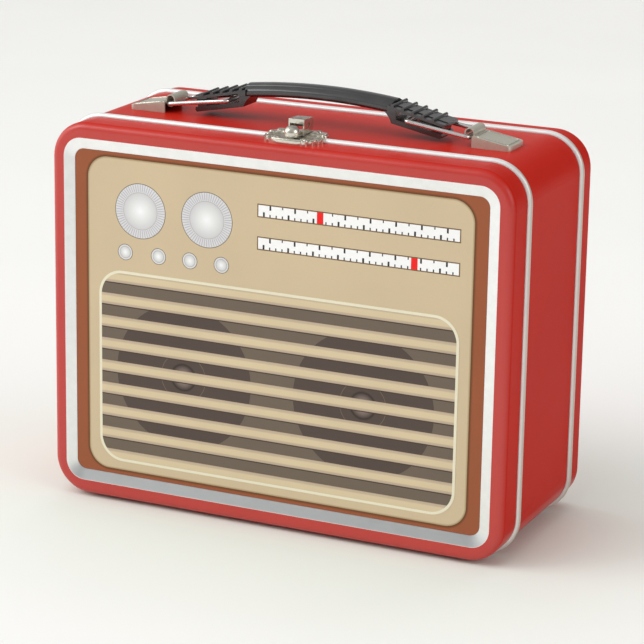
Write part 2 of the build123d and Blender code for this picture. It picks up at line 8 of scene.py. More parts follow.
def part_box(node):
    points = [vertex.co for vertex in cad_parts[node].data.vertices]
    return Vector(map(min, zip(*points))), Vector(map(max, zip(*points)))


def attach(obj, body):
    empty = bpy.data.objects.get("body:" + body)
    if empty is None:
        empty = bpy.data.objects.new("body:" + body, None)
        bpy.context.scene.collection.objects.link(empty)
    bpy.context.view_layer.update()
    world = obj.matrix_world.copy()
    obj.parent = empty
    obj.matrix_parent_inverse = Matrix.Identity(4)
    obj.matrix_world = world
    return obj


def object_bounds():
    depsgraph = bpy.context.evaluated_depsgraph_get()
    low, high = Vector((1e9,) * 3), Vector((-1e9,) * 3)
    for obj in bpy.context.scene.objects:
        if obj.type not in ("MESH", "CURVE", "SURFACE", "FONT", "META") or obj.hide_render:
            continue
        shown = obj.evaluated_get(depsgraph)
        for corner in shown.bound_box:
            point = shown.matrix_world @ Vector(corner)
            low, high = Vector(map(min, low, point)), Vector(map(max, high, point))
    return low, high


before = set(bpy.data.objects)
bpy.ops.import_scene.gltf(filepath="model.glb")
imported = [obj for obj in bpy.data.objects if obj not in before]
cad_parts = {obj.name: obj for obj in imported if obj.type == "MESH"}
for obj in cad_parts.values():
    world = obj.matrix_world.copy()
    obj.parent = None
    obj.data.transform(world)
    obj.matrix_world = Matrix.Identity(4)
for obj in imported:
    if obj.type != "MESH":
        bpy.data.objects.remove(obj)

# Looks for a tin lunch box with a radio face printed on its front panel. Metres, Z up, as in the frame.

MM = 0.001
cad_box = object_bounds()
panel_low, panel_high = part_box("print_panel")
band_low, band_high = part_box("body_band")
LID_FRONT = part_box("lid_pan")[0].y
BACK_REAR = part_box("back_pan")[1].y

PANEL_FACE = panel_low.y
PANEL_X = (panel_low.x + panel_high.x) / 2
PANEL_Z = (panel_low.z + panel_high.z) / 2
CASE_HALF_X = band_high.x
CASE_HALF_Z = (band_high.z - band_low.z) / 2
CASE_MID = (band_high.z + band_low.z) / 2
CASE_TOP = band_high.z
CASE_RADIUS = 16 * MM
SHEET = 0.6 * MM
OUTWARD_REACH = 2 * MM
BAND_SKIN = 0.5 * MM
PAN_SKIN = 4 * MM

ENAMEL_DEEP = (0.46, 0.014, 0.007, 1)
ENAMEL_PALE = (0.50, 0.019, 0.010, 1)
ENAMEL_CLOUD = (0.52, 0.031, 0.019, 1)
ENAMEL_RUB = (0.60, 0.12, 0.09, 1)
TIN_DEEP = (0.56, 0.53, 0.47, 1)
TIN_PALE = (0.72, 0.70, 0.65, 1)
PRINT_GRAIN = 0.03
PRINT_GLOSS = (0.28, 0.38)
PRINT_IOR = 1.3


def screen(red, green, blue):
    """A scene-linear colour from screen values of 0 to 255."""
    shares = [value / 255 for value in (red, green, blue)]
    return (*[s / 12.92 if s <= 0.04045 else ((s + 0.055) / 1.055) ** 2.4 for s in shares], 1.0)


# ---------------------------------------------------------------- materials


class Look:
    """A material being made: one Principled shader and its nodes, placed by object coordinates."""

    def __init__(self, name, **sockets):
        self.material = bpy.data.materials.new(name)
        self.material.use_nodes = True
        self.tree = self.material.node_tree
        self.shader = self.tree.nodes["Principled BSDF"]
        for socket, value in sockets.items():
            self.shader.inputs[socket.replace("_", " ")].default_value = value
        where = self.tree.nodes.new("ShaderNodeTexCoord")
        self.place = where.outputs["Object"]
        self.normal = where.outputs["Normal"]
        self.box_place = where.outputs["Generated"]

    def plug(self, socket, value):
        """Sets a socket to a number or colour, or links it to an output."""
        if isinstance(value, bpy.types.NodeSocket):
            self.tree.links.new(value, socket)
        elif value is not None:
            socket.default_value = value

    def feed(self, socket, output):
        self.plug(self.shader.inputs[socket], output)

    def math(self, operation, first, second=None, third=None):
        step = self.tree.nodes.new("ShaderNodeMath")
        step.operation = operation
        for socket, value in zip(step.inputs, (first, second, third)):
            self.plug(socket, value)
        return step.outputs[0]

    def vector(self, operation, first, second=None):
        step = self.tree.nodes.new("ShaderNodeVectorMath")
        step.operation = operation
        self.plug(step.inputs[0], first)
        self.plug(step.inputs[1], second)
        return step.outputs["Value" if operation in ("DOT_PRODUCT", "LENGTH") else "Vector"]

    def split(self, vector):
        step = self.tree.nodes.new("ShaderNodeSeparateXYZ")
        self.plug(step.inputs[0], vector)
        return step.outputs

    def join(self, x, y, z):
        step = self.tree.nodes.new("ShaderNodeCombineXYZ")
        for socket, value in zip(step.inputs, (x, y, z)):
            self.plug(socket, value)
        return step.outputs[0]

    def noise(self, size, detail=3.0, rough=0.5, stretch=None):
        """Noise whose features are about size metres across, stretched along the axes if asked."""
        place = self.place if stretch is None else self.vector("MULTIPLY", self.place, stretch)
        step = self.tree.nodes.new("ShaderNodeTexNoise")
        step.inputs["Scale"].default_value = 1 / size
        step.inputs["Detail"].default_value = detail
        step.inputs["Roughness"].default_value = rough
        self.plug(step.inputs["Vector"], place)
        return step.outputs["Fac"]

    def cells(self, size):
        step = self.tree.nodes.new("ShaderNodeTexVoronoi")
        step.inputs["Scale"].default_value = 1 / size
        self.plug(step.inputs["Vector"], self.place)
        return step.outputs["Distance"]

    def spread(self, value, low, high, to_low=0.0, to_high=1.0, smooth=False):
        """Maps low..high to to_low..to_high and holds it there outside."""
        step = self.tree.nodes.new("ShaderNodeMapRange")
        step.interpolation_type = "SMOOTHSTEP" if smooth else "LINEAR"
        for socket, number in zip(step.inputs, (value, low, high, to_low, to_high)):
            self.plug(socket, number)
        return step.outputs[0]

    def ramp(self, value, *stops):
        step = self.tree.nodes.new("ShaderNodeValToRGB")
        marks = step.color_ramp.elements
        for _ in stops[2:]:
            marks.new(1.0)
        for mark, (position, color) in zip(marks, stops):
            mark.position = position
            mark.color = color
        self.plug(step.inputs[0], value)
        return step.outputs["Color"]

    def mix(self, share, first, second, mode="MIX"):
        step = self.tree.nodes.new("ShaderNodeMix")
        step.data_type = "RGBA"
        step.blend_type = mode
        self.plug(step.inputs["Factor"], share)
        self.plug(step.inputs[6], first)
        self.plug(step.inputs[7], second)
        return step.outputs[2]

    def bump(self, height, depth, strength):
        """Relief of that depth in metres, added to whatever relief is there already."""
        step = self.tree.nodes.new("ShaderNodeBump")
        step.inputs["Strength"].default_value = strength
        step.inputs["Distance"].default_value = depth
        self.plug(step.inputs["Height"], height)
        before = self.shader.inputs["Normal"]
        if before.is_linked:
            self.plug(step.inputs["Normal"], before.links[0].from_socket)
        self.feed("Normal", step.outputs[0])

    def outline_distance(self, x, z, half_x, half_z, radius):
        """Distance outward from a rounded rectangle's edge, negative inside it."""
        over_x = self.math("SUBTRACT", self.math("ABSOLUTE", x), half_x - radius)
        over_z = self.math("SUBTRACT", self.math("ABSOLUTE", z), half_z - radius)
        past_x = self.math("MAXIMUM", over_x, 0.0)
        past_z = self.math("MAXIMUM", over_z, 0.0)
        corner = self.vector("LENGTH", self.join(past_x, 0.0, past_z))
        inside = self.math("MINIMUM", self.math("MAXIMUM", over_x, over_z), 0.0)
        return self.math("SUBTRACT", self.math("ADD", corner, inside), radius)


def speckle(look, size, low, high):
    """A sparse mask of small marks."""
    return look.spread(look.noise(size, 4.0, 0.6), low, high)


def outside_of_sheet(look, front_face, rear_face, field_inset, field_depth):
    """A mask of the sheet's outer side, and the distance outward from the case's outline."""
    x, y, z = look.split(look.place)
    z = look.math("SUBTRACT", z, CASE_MID)
    edge = look.outline_distance(x, z, CASE_HALF_X, CASE_HALF_Z, CASE_RADIUS)
    outward = look.vector("DOT_PRODUCT", look.normal, look.join(x, 0.0, z))
    side = look.math("GREATER_THAN", outward, OUTWARD_REACH)
    face = front_face if rear_face is None else rear_face
    near_edge = look.math("GREATER_THAN", edge, -BAND_SKIN if face is None else -PAN_SKIN)
    outside = look.math("MULTIPLY", side, near_edge)
    if face is not None:
        inward = 1 if rear_face is None else -1
        in_field = look.math("LESS_THAN", edge, -field_inset)
        middle = look.math("MULTIPLY_ADD", in_field, inward * field_depth, face + inward * SHEET / 2)
        order = (y, middle) if inward > 0 else (middle, y)
        outside = look.math("MAXIMUM", outside, look.math("LESS_THAN", *order))
    return outside, edge


def red_enamel(look, edge):
    """A slow drift of tone, faint clouding and a few paler rub marks near the folds."""
    drift = look.ramp(look.noise(60 * MM, 2.0), (0.3, ENAMEL_DEEP), (0.7, ENAMEL_PALE))
    cloud = look.mix(look.spread(look.noise(9 * MM), 0.35, 0.7, 0.0, 0.10), drift, ENAMEL_CLOUD)
    near_fold = look.spread(edge, -5 * MM, -0.2 * MM)
    rubs = look.math("MULTIPLY", near_fold, speckle(look, 1.3 * MM, 0.62, 0.74))
    return look.mix(look.math("MULTIPLY", rubs, 0.12), cloud, ENAMEL_RUB)


def painted_sheet(name, front_face=None, rear_face=None, field_inset=0.0, field_depth=0.0):
    """Red enamel on the outside of the sheet and bare tin on its inside and its cut edges."""
    look = Look(name, IOR=1.5)
    outside, edge = outside_of_sheet(look, front_face, rear_face, field_inset, field_depth)
    tin = look.ramp(look.noise(5 * MM, 5.0, 0.65), (0.3, TIN_DEEP), (0.7, TIN_PALE))
    look.feed("Base Color", look.mix(outside, tin, red_enamel(look, edge)))
    look.feed("Metallic", look.math("SUBTRACT", 1.0, outside))
    gloss = look.spread(look.noise(30 * MM, 1.0), 0.3, 0.7, 0.28, 0.34)
    tin_gloss = look.spread(look.noise(2 * MM, 4.0), 0.3, 0.7, 0.30, 0.46)
    chosen = look.math("MULTIPLY_ADD", outside, look.math("SUBTRACT", gloss, tin_gloss), tin_gloss)
    look.feed("Roughness", chosen)
    # painted sheen: the specular strength follows which way the surface faces, strong on the front and
    # underside and faint on the top and sides, standing in for the reflections there
    _, toward, up = look.split(look.normal)
    front = look.spread(look.math("ABSOLUTE", toward), 0.25, 0.95, 0.02, 0.85)
    under = look.spread(look.math("MULTIPLY", up, -1.0), 0.2, 0.9, 0.0, 0.6)
    over = look.spread(up, 0.6, 1.0, 0.0, 0.05)
    ends = look.math("MAXIMUM", under, over)
    look.feed("Specular IOR Level", look.math("MAXIMUM", front, ends))
    look.bump(look.noise(22 * MM, 1.0), 0.02 * MM, 0.5)
    look.bump(look.noise(0.35 * MM, 3.0), 0.0015 * MM, 0.5)
    return look.material


def bright_tin(name, color, brush, rough, shine, painted_shade_where, painted_shade_color):
    """Bare bright sheet with a fine rolled grain and scattered marks, mixed toward a darker painted shade
    colour where the given facing mask says.
    """
    look = Look(name, Metallic=shine)
    pale = [min(1.0, c * 1.03) for c in color] + [1.0]
    deep = [c * 0.97 for c in color] + [1.0]
    tone = look.ramp(look.noise(4 * MM, 5.0, 0.62), (0.3, deep), (0.68, pale))
    marks = speckle(look, 0.4 * MM, 0.62, 0.74)
    mark_color = [c * 0.62 for c in color] + [1.0]
    marked = look.mix(look.math("MULTIPLY", marks, 0.05), tone, mark_color)
    # painted shade: the base colour darkens toward the given colour where the facing mask is strong
    look.feed("Base Color", look.mix(painted_shade_where(look), marked, (*painted_shade_color, 1)))
    grain = look.noise(0.5 * MM, 4.0, 0.6, stretch=brush)
    fog = look.noise(6 * MM, 3.0)
    gloss = look.math("MULTIPLY_ADD", fog, 0.5, look.math("MULTIPLY", grain, 0.5))
    look.feed("Roughness", look.spread(gloss, 0.3, 0.7, *rough))
    look.bump(grain, 0.003 * MM, 0.6)
    look.bump(look.noise(12 * MM, 1.0), 0.008 * MM, 0.4)
    return look.material


def plated(name, color, tarnish, rough, shine, spotting=0.35):
    """Plated steel: cloudy warm tone, darker specks of tarnish and fine random scratches."""
    look = Look(name, Metallic=shine)
    deep = [c * 0.90 for c in color] + [1.0]
    tone = look.ramp(look.noise(2.4 * MM, 5.0, 0.65), (0.28, deep), (0.70, (*color, 1)))
    spots = speckle(look, 0.7 * MM, 0.58, 0.72)
    look.feed("Base Color", look.mix(look.math("MULTIPLY", spots, spotting), tone, (*tarnish, 1)))
    scratches = look.noise(0.25 * MM, 4.0, 0.7, stretch=(1.0, 0.12, 0.12))
    look.feed("Roughness", look.spread(look.noise(1.6 * MM, 4.0), 0.3, 0.72, *rough))
    look.bump(scratches, 0.004 * MM, 0.5)
    look.bump(look.noise(1.4 * MM, 2.0), 0.008 * MM, 0.45)
    return look.material


def moulded_plastic(name):
    """Black moulded plastic with a fine spark texture, dusty streaks and a handled shine."""
    look = Look(name, IOR=1.5, Specular_IOR_Level=0.8, Coat_Weight=0.45, Coat_Roughness=0.13)
    deep, pale = (0.013, 0.013, 0.014, 1), (0.026, 0.025, 0.025, 1)
    tone = look.ramp(look.noise(9 * MM, 3.0, 0.5), (0.3, deep), (0.72, pale))
    dust = look.math("MULTIPLY", speckle(look, 0.5 * MM, 0.60, 0.74), 0.10)
    look.feed("Base Color", look.mix(dust, tone, (0.09, 0.087, 0.084, 1)))
    look.feed("Roughness", look.spread(look.noise(6 * MM, 3.0), 0.3, 0.72, 0.18, 0.28))
    look.bump(look.cells(0.32 * MM), 0.003 * MM, 0.35)
    look.bump(look.noise(14 * MM, 1.0), 0.02 * MM, 0.4)
    return look.material


def printed_surface(look, color):
    """Print grain, drift and varnish over a colour or a colour output."""
    dots = look.spread(look.cells(0.28 * MM), 0.1, 0.7, 1 - PRINT_GRAIN, 1 + PRINT_GRAIN * 0.4)
    drift = look.spread(look.noise(38 * MM, 2.0), 0.3, 0.7, 0.975, 1.02)
    share = look.math("MULTIPLY", dots, drift)
    look.feed("Base Color", look.mix(1.0, color, look.join(share, share, share), "MULTIPLY"))
    look.feed("Roughness", look.spread(look.noise(8 * MM, 4.0), 0.3, 0.72, *PRINT_GLOSS))
    look.bump(look.noise(9 * MM, 2.0), 0.008 * MM, 0.4)
    look.bump(look.noise(0.3 * MM, 3.0), 0.0015 * MM, 0.4)


def ink(name, color):
    """Printed enamel ink under varnish, in one colour."""
    look = Look(name, IOR=PRINT_IOR)
    printed_surface(look, color)
    return look.material


def round_ink(name, *stops):
    """Ink that shades from the middle of a round piece to its edge."""
    look = Look(name, IOR=PRINT_IOR)
    x, _, z = look.split(look.vector("SUBTRACT", look.box_place, (0.5, 0.5, 0.5)))
    reach = look.vector("LENGTH", look.join(x, 0.0, z))
    printed_surface(look, look.ramp(look.math("MULTIPLY", reach, 2.0), *stops))
    return look.material


# ---------------------------------------------------------------- the printed radio face
# Places are in millimetres from the panel's middle. Levels are counted outward from its face: one is LEVEL
# millimetres high, and a plain layer of print is LAYER of them thick. A row's ticks are given by the width
# and height of a short one, then of a long one.

FIELD = dict(half_x=89.0, half_z=69.75, radius=9.6)
GRILLE_Z = -22.7
GRILLE = dict(half_x=83.75, half_z=43.1, radius=11.2)
GRILLE_LINE = 1.2
SLAT_PITCH = 10.07
SLAT_HEIGHT = 5.0
SLAT_SHADOW = 0.45
FIRST_SLAT_TOP = 19.87
SLAT_COUNT = 9
SPEAKER_X = (-42.8, 41.4)
SPEAKER_Z = -23.2
SPEAKER_RADIUS = 32.2
CONE_LINE_RADIUS = 10.8
CONE_LINE = 0.3
DOME_RADIUS = 6.6
DIAL_X = (-63.6, -31.9)
DIAL_Z = 47.6
DIAL_RADIUS = 12.1
DIAL_FACE_RADIUS = 8.0
DIAL_EDGE = 0.3
DIAL_LINE = 0.2
DIAL_TICKS = 60
DIAL_TICK_LENGTH = 3.2
DIAL_TICK_WIDTH = 0.3
KNOB_X = (-70.9, -54.9, -39.9, -24.9)
KNOB_Z = 28.9
KNOB_RADIUS = 3.6
KNOB_EDGE = 0.27
KNOB_LINE = 0.95
KNOB_FACE = 1.15
SCALE_X = (-8.3, 83.1)
SCALE_Z = (54.65, 40.65)
SCALE_HEIGHT = 5.8
SCALE_LINE = 0.5
TICK_PITCH = 11.37
UPPER_TICKS = ((0.5, 1.0), (0.8, 1.9))
UPPER_TICK_COUNT = 15
LOWER_TICKS = ((0.55, 1.1), (0.85, 1.9))
LOWER_TICK_COUNT = 31
UPPER_TICK_X = -2.3
LOWER_TICK_X = -5.25
POINTER_X = (20.5, 63.0)
POINTER_WIDTH = 2.9
LEVEL = 0.02
LAYER = 1.5


def on_panel(x, z, level):
    """A point in the frame from a place on the panel."""
    return Vector((PANEL_X + x * MM, PANEL_FACE - level * LEVEL * MM, PANEL_Z + z * MM))


def rounded(half_x, half_z, radius, x=0.0, z=0.0, steps=12):
    """The outline of a rounded rectangle."""
    points = []
    for quarter, (side, rise) in enumerate(((1, 1), (-1, 1), (-1, -1), (1, -1))):
        for step in range(steps + 1):
            turn = math.radians(90 * (quarter + step / steps))
            corner_x = x + side * (half_x - radius) + radius * math.cos(turn)
            points.append((corner_x, z + rise * (half_z - radius) + radius * math.sin(turn)))
    return points


def circle(radius, x, z, steps=96):
    turns = [2 * math.pi * step / steps for step in range(steps)]
    return [(x + radius * math.cos(turn), z + radius * math.sin(turn)) for turn in turns]


def bar(x, z, width, height, turn=0.0):
    """The outline of a rectangle about its middle, turned by an angle."""
    corners = ((1, 1), (-1, 1), (-1, -1), (1, -1))
    across, along = width / 2, height / 2
    cos, sin = math.cos(turn), math.sin(turn)
    offsets = [(side * across, rise * along) for side, rise in corners]
    return [(x + a * cos - b * sin, z + a * sin + b * cos) for a, b in offsets]


class Print:
    """One printed colour: thin closed plates gathered in one mesh."""

    def __init__(self):
        self.mesh = bmesh.new()

    def loop(self, outline, level):
        return [self.mesh.verts.new(on_panel(x, z, level)) for x, z in outline]

    def wall(self, first, second):
        for index in range(len(first)):
            after = (index + 1) % len(first)
            self.mesh.faces.new((first[index], first[after], second[after], second[index]))

    def plate(self, outline, top, foot=None):
        front = self.loop(outline, top)
        rear = self.loop(outline, top - LAYER if foot is None else foot)
        self.mesh.faces.new(front)
        self.mesh.faces.new(rear)
        self.wall(front, rear)

    def ring(self, outer, inner, top, foot):
        corners = ((outer, top), (inner, top), (inner, foot), (outer, foot))
        loops = [self.loop(outline, level) for outline, level in corners]
        for index in range(4):
            self.wall(loops[index], loops[(index + 1) % 4])

    def done(self, name, material):
        return finished(name, self.mesh, material, "lid")


def finished(name, mesh, material, body, smooth=False):
    """Makes the piece from its mesh and hangs it on its body."""
    bmesh.ops.recalc_face_normals(mesh, faces=mesh.faces)
    data = bpy.data.meshes.new(name)
    mesh.to_mesh(data)
    mesh.free()
    for polygon in data.polygons:
        polygon.use_smooth = smooth
    data.materials.append(material)
    piece = bpy.data.objects.new(name, data)
    bpy.context.scene.collection.objects.link(piece)
    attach(piece, body)
    return piece


def field_distance(look):
    """Distance outward from the beige field's edge."""
    x, _, z = look.split(look.place)
    x = look.math("SUBTRACT", x, PANEL_X)
    z = look.math("SUBTRACT", z, PANEL_Z)
    return look.outline_distance(x, z, **{key: size * MM for key, size in FIELD.items()})


def panel_look():
    """The brown ground of the print, with a soft shadow round the beige field."""
    look = Look("ink_brown", IOR=PRINT_IOR)
    away = field_distance(look)
    shade = look.spread(away, 0.0, 1.4 * MM, 0.0, 1.0, smooth=True)
    ground = look.mix(shade, screen(98, 62, 34), screen(152, 86, 55))
    printed_surface(look, ground)
    return look.material


def field_look():
    """The beige field, a little darker along its own edge."""
    look = Look("ink_beige", IOR=PRINT_IOR)
    away = field_distance(look)
    shade = look.spread(away, -1.0 * MM, 0.0, 0.0, 0.8, smooth=True)
    printed_surface(look, look.mix(shade, screen(205, 185, 152), screen(150, 124, 84)))
    return look.material


def slat_look():
    """Slats printed in bands: a pale middle between two greyer edges."""
    look = Look("ink_slats", IOR=PRINT_IOR)
    height = look.split(look.place)[2]
    top = PANEL_Z + FIRST_SLAT_TOP * MM
    turns = look.math("DIVIDE", look.math("SUBTRACT", top, height), SLAT_PITCH * MM)
    across = look.math("FRACT", turns)
    color = look.ramp(
        across,
        (0.00, screen(174, 154, 130)),
        (0.03, screen(192, 172, 148)),
        (0.10, screen(194, 175, 150)),
        (0.15, screen(213, 195, 160)),
        (0.36, screen(212, 194, 158)),
        (0.41, screen(190, 170, 147)),
        (0.47, screen(186, 166, 145)),
        (0.50, screen(158, 140, 120)),
    )
    printed_surface(look, color)
    return look.material


def print_ground():
    field = Print()
    field.plate(rounded(**FIELD), 1.0, -1.0)
    field.done("print_field", field_look())

    grille = Print()
    grille.plate(rounded(**GRILLE, z=GRILLE_Z), 2.0)
    grille.done("print_grille_ground", ink("ink_grille", screen(109, 97, 84)))


def print_speakers():
    cones, lines = Print(), Print()
    for x in SPEAKER_X:
        cones.plate(circle(SPEAKER_RADIUS, x, SPEAKER_Z), 3.0)
        outer = circle(CONE_LINE_RADIUS, x, SPEAKER_Z)
        inner = circle(CONE_LINE_RADIUS - CONE_LINE, x, SPEAKER_Z)
        lines.ring(outer, inner, 3.6, 2.0)
    cones.done("print_speaker_cones", ink("ink_speaker", screen(84, 72, 65)))
    lines.done("print_speaker_lines", ink("ink_speaker_line", screen(112, 97, 84)))
    glow = round_ink(
        "ink_speaker_dome",
        (0.0, screen(196, 184, 176)),
        (0.30, screen(140, 126, 119)),
        (0.72, screen(92, 79, 73)),
        (0.86, screen(58, 48, 44)),
        (1.0, screen(84, 72, 65)),
    )
    for side, x in zip(("left", "right"), SPEAKER_X):
        dome = Print()
        dome.plate(circle(DOME_RADIUS, x, SPEAKER_Z), 3.8, 2.0)
        dome.done("print_speaker_dome_" + side, glow)


def slat_outline(top, foot):
    """A slat's outline, with its ends cut to the grille's rounded corners."""
    inner = {key: size - GRILLE_LINE / 2 for key, size in GRILLE.items()}
    heights = [top + (foot - top) * step / 8 for step in range(9)]

    def reach(z):
        into = abs(z - GRILLE_Z) - (inner["half_z"] - inner["radius"])
        spare = inner["radius"] ** 2 - max(into, 0.0) ** 2
        return inner["half_x"] - inner["radius"] + math.sqrt(max(spare, 0.0))

    return [(-reach(z), z) for z in heights] + [(reach(z), z) for z in reversed(heights)]


def print_slats():
    slats, shadows = Print(), Print()
    inner_half = GRILLE["half_z"] - GRILLE_LINE / 2
    for index in range(SLAT_COUNT):
        top = FIRST_SLAT_TOP - index * SLAT_PITCH
        foot = top - SLAT_HEIGHT
        outline = slat_outline(min(top, GRILLE_Z + inner_half), max(foot, GRILLE_Z - inner_half))
        slats.plate(outline, 4.8, 2.0)
        if foot - SLAT_SHADOW > GRILLE_Z - inner_half:
            shadows.plate(slat_outline(foot, foot - SLAT_SHADOW), 4.4, 2.0)
    slats.done("print_slats", slat_look())
    shadows.done("print_slat_shadows", ink("ink_slat_shadow", screen(70, 57, 49)))

    line = Print()
    outer = rounded(**GRILLE, z=GRILLE_Z)
    inner = rounded(**{key: size - GRILLE_LINE for key, size in GRILLE.items()}, z=GRILLE_Z)
    line.ring(outer, inner, 5.4, 0.0)
    line.done("print_grille_line", ink("ink_cream", screen(230, 223, 198)))


def print_dials():
    edges, rings, ticks, lines = Print(), Print(), Print(), Print()
    for x in DIAL_X:
        edges.plate(circle(DIAL_RADIUS, x, DIAL_Z), 2.0)
        rings.plate(circle(DIAL_RADIUS - DIAL_EDGE, x, DIAL_Z), 3.0)
        lines.plate(circle(DIAL_FACE_RADIUS + DIAL_LINE, x, DIAL_Z), 3.7, 2.0)
        middle = (DIAL_FACE_RADIUS + DIAL_RADIUS) / 2
        for index in range(DIAL_TICKS):
            turn = 2 * math.pi * index / DIAL_TICKS
            place = (x + middle * math.cos(turn), DIAL_Z + middle * math.sin(turn))
            ticks.plate(bar(*place, DIAL_TICK_LENGTH, DIAL_TICK_WIDTH, turn), 3.4, 2.0)
    for x in KNOB_X:
        edges.plate(circle(KNOB_RADIUS, x, KNOB_Z, 48), 2.0)
        rings.plate(circle(KNOB_RADIUS - KNOB_EDGE, x, KNOB_Z, 48), 3.0)
        lines.plate(circle(KNOB_RADIUS - KNOB_LINE, x, KNOB_Z, 48), 3.7, 2.0)
    edges.done("print_dial_edges", ink("ink_dial_edge", screen(112, 104, 96)))
    rings.done("print_dial_rings", ink("ink_dial_ring", screen(216, 214, 214)))
    ticks.done("print_dial_ticks", ink("ink_dial_tick", screen(176, 175, 184)))
    lines.done("print_dial_lines", ink("ink_dial_line", screen(168, 164, 160)))

    shine = round_ink(
        "ink_dial_face",
        (0.0, screen(246, 246, 246)),
        (0.45, screen(228, 228, 227)),
        (1.0, screen(204, 203, 203)),
    )
    rounds = [("dial", x, DIAL_Z, DIAL_FACE_RADIUS) for x in DIAL_X]
    rounds += [("knob", x, KNOB_Z, KNOB_RADIUS - KNOB_FACE) for x in KNOB_X]
    for index, (kind, x, z, radius) in enumerate(rounds):
        face = Print()
        face.plate(circle(radius, x, z, 72), 4.4, 2.0)
        face.done(f"print_{kind}_face_{index + 1}", shine)


def print_scales():
    frames, plates, ticks, pointers = Print(), Print(), Print(), Print()
    middle = (SCALE_X[0] + SCALE_X[1]) / 2
    length = SCALE_X[1] - SCALE_X[0]
    inner_height = SCALE_HEIGHT - 2 * SCALE_LINE
    for z, pointer in zip(SCALE_Z, POINTER_X):
        frames.plate(bar(middle, z, length, SCALE_HEIGHT), 2.0)
        plates.plate(bar(middle, z, length - 2 * SCALE_LINE, inner_height), 3.0)
        top = z + inner_height / 2
        foot = z - inner_height / 2
        for index in range(UPPER_TICK_COUNT):
            # upper row: long and short marks by turns
            x = UPPER_TICK_X + index * TICK_PITCH / 2
            width, height = UPPER_TICKS[index % 2 == 0]
            ticks.plate(bar(x, top - height / 2, width, height), 3.6, 2.0)
        for index in range(LOWER_TICK_COUNT):
            # lower row: one long mark, then three short ones
            x = LOWER_TICK_X + index * TICK_PITCH / 4
            width, height = LOWER_TICKS[index % 4 == 0]
            ticks.plate(bar(x, foot + height / 2, width, height), 3.6, 2.0)
        pointers.plate(bar(pointer, z, POINTER_WIDTH, inner_height), 4.2, 2.0)
    frames.done("print_scale_frames", ink("ink_scale_frame", screen(116, 92, 62)))
    plates.done("print_scale_plates", ink("ink_scale_white", screen(244, 243, 242)))
    ticks.done("print_scale_ticks", ink("ink_tick", screen(44, 42, 46)))
    pointers.done("print_scale_pointers", ink("ink_pointer", screen(238, 34, 34)))


# ---------------------------------------------------------------- metal details

PLATE_LOBE = 1.7 * MM
PLATE_LOBES = 24
RIVET_HEAD = 1.7 * MM
RIVET_DOME = 0.5 * MM
CAP_LENGTH = 17.0 * MM
CAP_INNER_HEIGHT = 4.8 * MM
CAP_OUTER_HEIGHT = 1.9 * MM
PLATE_CORNER = 8.5 * MM
LIP_HALF = 7 * MM
LIP_BOW = 0.5 * MM
STRING_INSET = 2.1 * MM
STRING_BEADS = 42
LIP_OUT = 0.1 * MM
LIP_RADIUS = 0.6 * MM
LOBE_BEAD = dict(radius=1.15 * MM, flat=0.75, stretch=1.15)
LOBE_ROOM = 1.0 * MM
STRING_BEAD = dict(radius=0.5 * MM, flat=0.8)
STRING_ROOM = 0.45 * MM
PETALS = ((6.2, -6.4, -50), (7.0, -1.6, -8), (7.2, 2.6, 12), (6.2, 7.2, 60))
PETAL = dict(length=3.6 * MM, width=1.9 * MM, height=0.7 * MM)
PETAL_ROOM = 0.8 * MM
SEAM_GAP = 0.15 * MM
RIVET_GAP = 0.1 * MM
HASP_SIDE_GAP = 0.5 * MM
HASP_FRONT_GAP = 0.3 * MM
OUTLINE_START = 25
BORDER_INSET = 1.5 * MM
BORDER_CORNER = 1.4 * MM
BORDER_RADIUS = 0.35 * MM


def tube(mesh, path, radius, closed=True, sides=8):
    """A closed tube along a path, with shut ends if the path is open."""
    count = len(path)
    loops = []
    for index, point in enumerate(path):
        before = path[index - 1] if closed or index > 0 else point
        after = path[(index + 1) % count] if closed or index < count - 1 else point
        along = (after - before).normalized()
        across = along.cross(Vector((0, 0, 1))).normalized()
        up = across.cross(along)
        turns = [2 * math.pi * side / sides for side in range(sides)]
        loops.append(
            [mesh.verts.new(point + radius * (math.cos(t) * across + math.sin(t) * up)) for t in turns]
        )
    for index in range(count if closed else count - 1):
        first, second = loops[index], loops[(index + 1) % count]
        for side in range(sides):
            after = (side + 1) % sides
            mesh.faces.new((first[side], first[after], second[after], second[side]))
    if not closed:
        mesh.faces.new(loops[0])
        mesh.faces.new(loops[-1])


def bead(mesh, place, radius, flat, stretch=1.0, turn=0.0):
    """A flattened bead, longer along its own axis if stretched."""
    matrix = (
        Matrix.Translation(place)
        @ Matrix.Rotation(turn, 4, "Z")
        @ Matrix.Diagonal((stretch, 1.0, flat, 1.0))
    )
    bmesh.ops.create_uvsphere(mesh, u_segments=14, v_segments=8, radius=radius, matrix=matrix)


def petal(mesh, place, length, width, height, turn):
    """A leaf-shaped raised petal with a ridge down its middle, pointing along its turn."""
    spin = Matrix.Rotation(turn, 3, "Z")
    rows = 9
    crest, left, right, base = [], [], [], []
    for row in range(rows):
        share = row / (rows - 1)
        half = width / 2 * math.sin(math.pi * share ** 0.75) ** 0.8 + 0.02 * MM
        rise = height * (0.35 + 0.65 * math.sin(math.pi * share ** 0.75))
        x = length * (share - 0.5)
        crest.append(mesh.verts.new(place + spin @ Vector((x, 0, rise))))
        left.append(mesh.verts.new(place + spin @ Vector((x, half, 0))))
        right.append(mesh.verts.new(place + spin @ Vector((x, -half, 0))))
        base.append(mesh.verts.new(place + spin @ Vector((x, 0, -0.2 * MM))))
    strips = (crest, left, base, right)
    for first, second in zip(strips, strips[1:] + strips[:1]):
        for row in range(rows - 1):
            mesh.faces.new((first[row], first[row + 1], second[row + 1], second[row]))
    for end in (0, rows - 1):
        mesh.faces.new([strip[end] for strip in strips])


